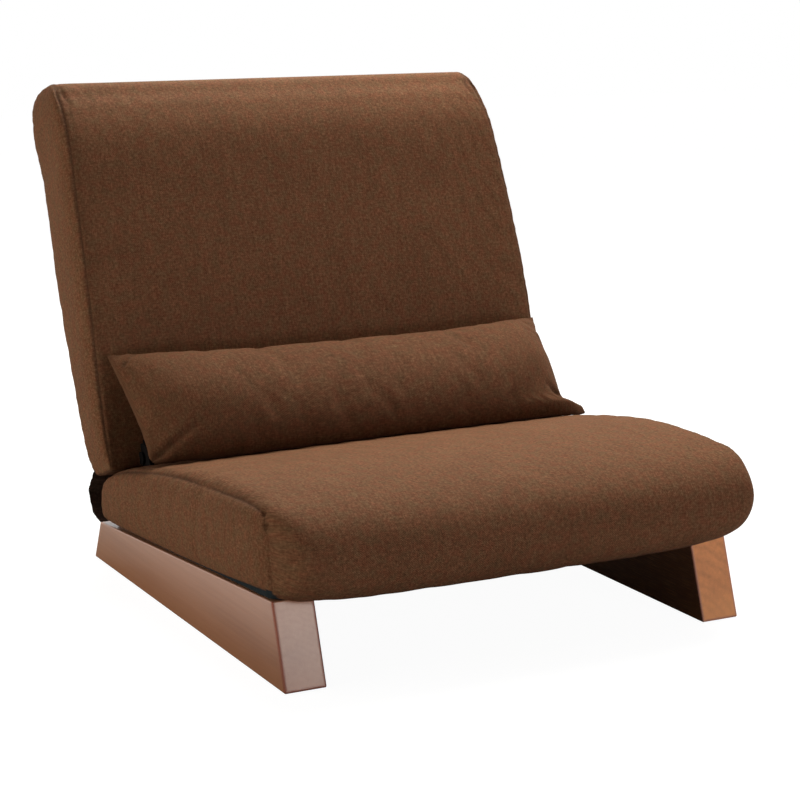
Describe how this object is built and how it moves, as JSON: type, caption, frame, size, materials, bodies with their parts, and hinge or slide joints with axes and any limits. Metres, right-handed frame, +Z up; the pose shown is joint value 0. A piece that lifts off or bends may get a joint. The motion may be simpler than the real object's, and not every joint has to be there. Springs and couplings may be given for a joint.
{
  "type": "folding lounge chair",
  "caption": "Low armless folding lounge chair: padded seat on wooden sled legs, padded back on ratchet hinges that lies flat or folds onto the seat, and a loose lumbar pillow.",
  "frame": {"origin": "on the floor, midway between the seat's front roll and the back's rear roll, in the chair's middle plane", "axes": "+Z up; the sitter looks along -Y; +X is the right side as seen from in front of the chair"},
  "size_m": [0.7008, 0.9067, 0.6595],
  "materials": {
    "leg_wood": "satin",
    "glide_plastic": "matte",
    "zinc_steel": "satin",
    "insert_brass": "satin",
    "frame_steel": "satin",
    "hinge_steel": "satin",
    "spring_steel": "satin",
    "cap_plastic": "matte",
    "black_cloth": "matte",
    "foam": "matte",
    "filling": "matte",
    "brown_cloth": "matte",
    "gusset_cloth": "matte"
  },
  "bodies": {
    "base": {"right_leg": "leg_wood", "left_leg": "leg_wood", "leg_glides": "glide_plastic", "leg_bolts": "zinc_steel", "leg_washers": "zinc_steel", "leg_inserts": "insert_brass", "seat_rail_right": "frame_steel", "seat_rail_left": "frame_steel", "seat_rail_front": "frame_steel", "seat_rail_rear": "frame_steel", "rail_end_caps": "cap_plastic", "seat_springs": "spring_steel", "seat_spring_clips": "cap_plastic", "dust_cover": "black_cloth", "seat_foam": "foam", "seat_cover": "brown_cloth", "hinge_plate_right": "hinge_steel", "pawl_spring_right": "spring_steel", "hinge_plate_left": "hinge_steel", "pawl_spring_left": "spring_steel", "hinge_pins": "zinc_steel", "pawl_pins": "zinc_steel", "hinge_gusset": "gusset_cloth"},
    "back": {"hinge_arm_right": "hinge_steel", "hinge_arm_left": "hinge_steel", "back_upright_right": "frame_steel", "back_upright_left": "frame_steel", "back_rail_bottom": "frame_steel", "back_rail_top": "frame_steel", "back_springs": "spring_steel", "back_spring_clips": "cap_plastic", "back_foam_front": "foam", "back_foam_rear": "foam", "back_cover": "brown_cloth"},
    "pillow": {"pillow_cover": "brown_cloth", "pillow_filling": "filling"},
    "right_pawl": {"pawl_right": "hinge_steel"},
    "left_pawl": {"pawl_left": "hinge_steel"}
  },
  "joints": [
    {"name": "back_fold", "type": "hinge", "parent": "base", "child": "back", "pos_m": [0, 0.13999, 0.16196], "axis": [1, 0, 0], "range_deg": [-69.5, 90], "deforming": ["hinge_gusset", "pillow_cover", "pillow_filling"]},
    {"name": "pillow_lift", "type": "slide", "parent": "base", "child": "pillow", "axis": [0, 0, 1], "range_m": [0, 0.25]},
    {"name": "right_pawl_swing", "type": "hinge", "parent": "base", "child": "right_pawl", "pos_m": [0.2767, 0.10599, 0.12596], "axis": [-1, 0, 0], "range_deg": [0, 10], "stiffness_Nm_per_rad": 0.05, "springref_deg": -17.19, "deforming": ["pawl_spring_right"]},
    {"name": "left_pawl_swing", "type": "hinge", "parent": "base", "child": "left_pawl", "pos_m": [-0.2767, 0.10599, 0.12596], "axis": [-1, 0, 0], "range_deg": [0, 10], "stiffness_Nm_per_rad": 0.05, "springref_deg": -17.19, "deforming": ["pawl_spring_left"]}
  ]
}
